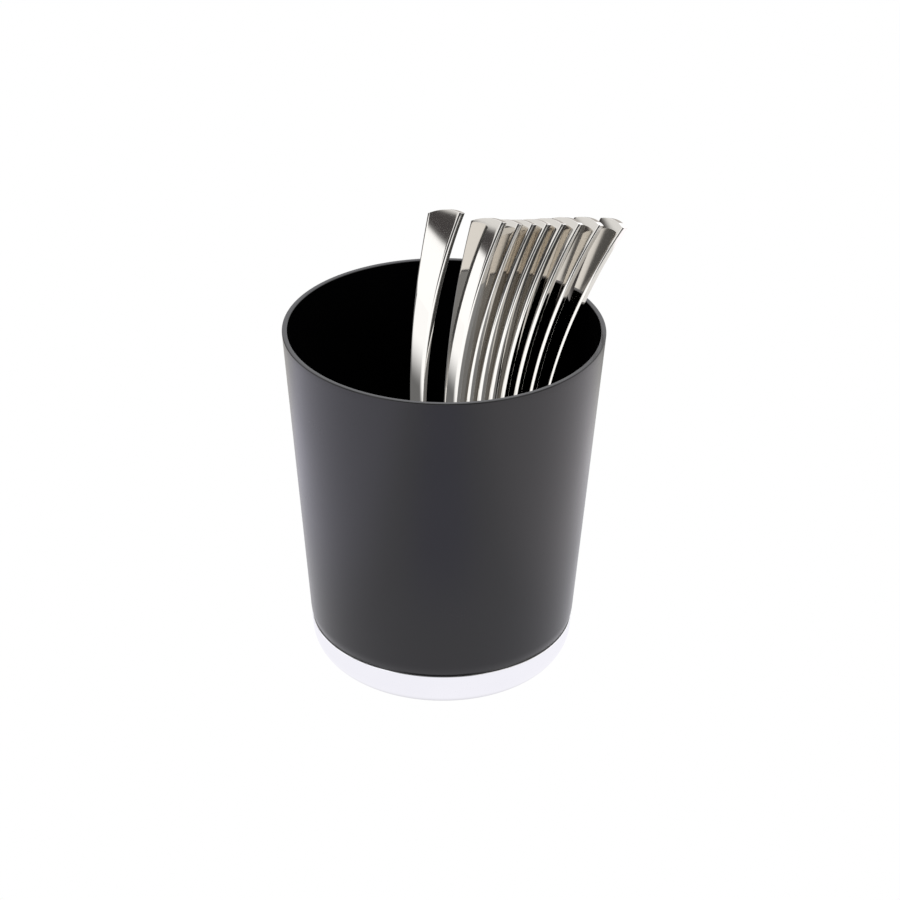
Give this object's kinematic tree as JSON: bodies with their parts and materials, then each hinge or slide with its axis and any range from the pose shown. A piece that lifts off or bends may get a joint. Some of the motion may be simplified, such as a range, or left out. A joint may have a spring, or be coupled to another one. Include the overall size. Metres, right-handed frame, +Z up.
{
  "type": "cutlery holder",
  "caption": "Round tapered counter-top cutlery holder: black open cup on a bright plated base, with polished table forks standing handles up in one half.",
  "frame": {"origin": "centre of the holder's underside, on the table", "axes": "+Z up along the cup's axis, +Y from the viewer's side to the back, +X to the viewer's right"},
  "size_m": [0.1436, 0.1348, 0.1875],
  "materials": {
    "black_plastic": "satin outside, polished inside",
    "bright_plating": "polished",
    "screw_steel": "plain",
    "pad_rubber": "matte",
    "fork_steel": "mirror polished"
  },
  "bodies": {
    "holder": {"cup_body": "black_plastic", "chrome_base": "bright_plating", "base_screws": "screw_steel", "foot_pad": "pad_rubber"},
    "fork_1": {"fork_1": "fork_steel"},
    "fork_2": {"fork_2": "fork_steel"},
    "fork_3": {"fork_3": "fork_steel"},
    "fork_4": {"fork_4": "fork_steel"},
    "fork_5": {"fork_5": "fork_steel"},
    "fork_6": {"fork_6": "fork_steel"},
    "fork_7": {"fork_7": "fork_steel"},
    "fork_8": {"fork_8": "fork_steel"},
    "fork_9": {"fork_9": "fork_steel"}
  },
  "joints": [
    {"name": "fork_1_lift", "type": "slide", "parent": "fork_2", "child": "fork_1", "axis": [-0.0354, 0.3985, 0.9165], "range_m": [0, 0.2]},
    {"name": "fork_2_lift", "type": "slide", "parent": "holder", "child": "fork_2", "axis": [0.007, 0.3886, 0.9214], "range_m": [0, 0.2]},
    {"name": "fork_3_lift", "type": "slide", "parent": "holder", "child": "fork_3", "axis": [0.0258, 0.3986, 0.9168], "range_m": [0, 0.2]},
    {"name": "fork_4_lift", "type": "slide", "parent": "holder", "child": "fork_4", "axis": [0.0387, 0.3956, 0.9176], "range_m": [0, 0.2]},
    {"name": "fork_5_lift", "type": "slide", "parent": "holder", "child": "fork_5", "axis": [0.053, 0.3851, 0.9213], "range_m": [0, 0.2]},
    {"name": "fork_6_lift", "type": "slide", "parent": "holder", "child": "fork_6", "axis": [0.069, 0.3677, 0.9274], "range_m": [0, 0.2]},
    {"name": "fork_7_lift", "type": "slide", "parent": "holder", "child": "fork_7", "axis": [0.0882, 0.3445, 0.9346], "range_m": [0, 0.2]},
    {"name": "fork_8_lift", "type": "slide", "parent": "holder", "child": "fork_8", "axis": [0.115, 0.3177, 0.9412], "range_m": [0, 0.2]},
    {"name": "fork_9_lift", "type": "slide", "parent": "holder", "child": "fork_9", "axis": [0.1496, 0.2862, 0.9464], "range_m": [0, 0.2]}
  ],
  "couplings": [
    {"joint": "fork_3_lift", "follows": "fork_2_lift", "ratio": 1},
    {"joint": "fork_4_lift", "follows": "fork_2_lift", "ratio": 1},
    {"joint": "fork_5_lift", "follows": "fork_2_lift", "ratio": 1},
    {"joint": "fork_6_lift", "follows": "fork_2_lift", "ratio": 1},
    {"joint": "fork_7_lift", "follows": "fork_2_lift", "ratio": 1},
    {"joint": "fork_8_lift", "follows": "fork_2_lift", "ratio": 1},
    {"joint": "fork_9_lift", "follows": "fork_2_lift", "ratio": 1}
  ]
}
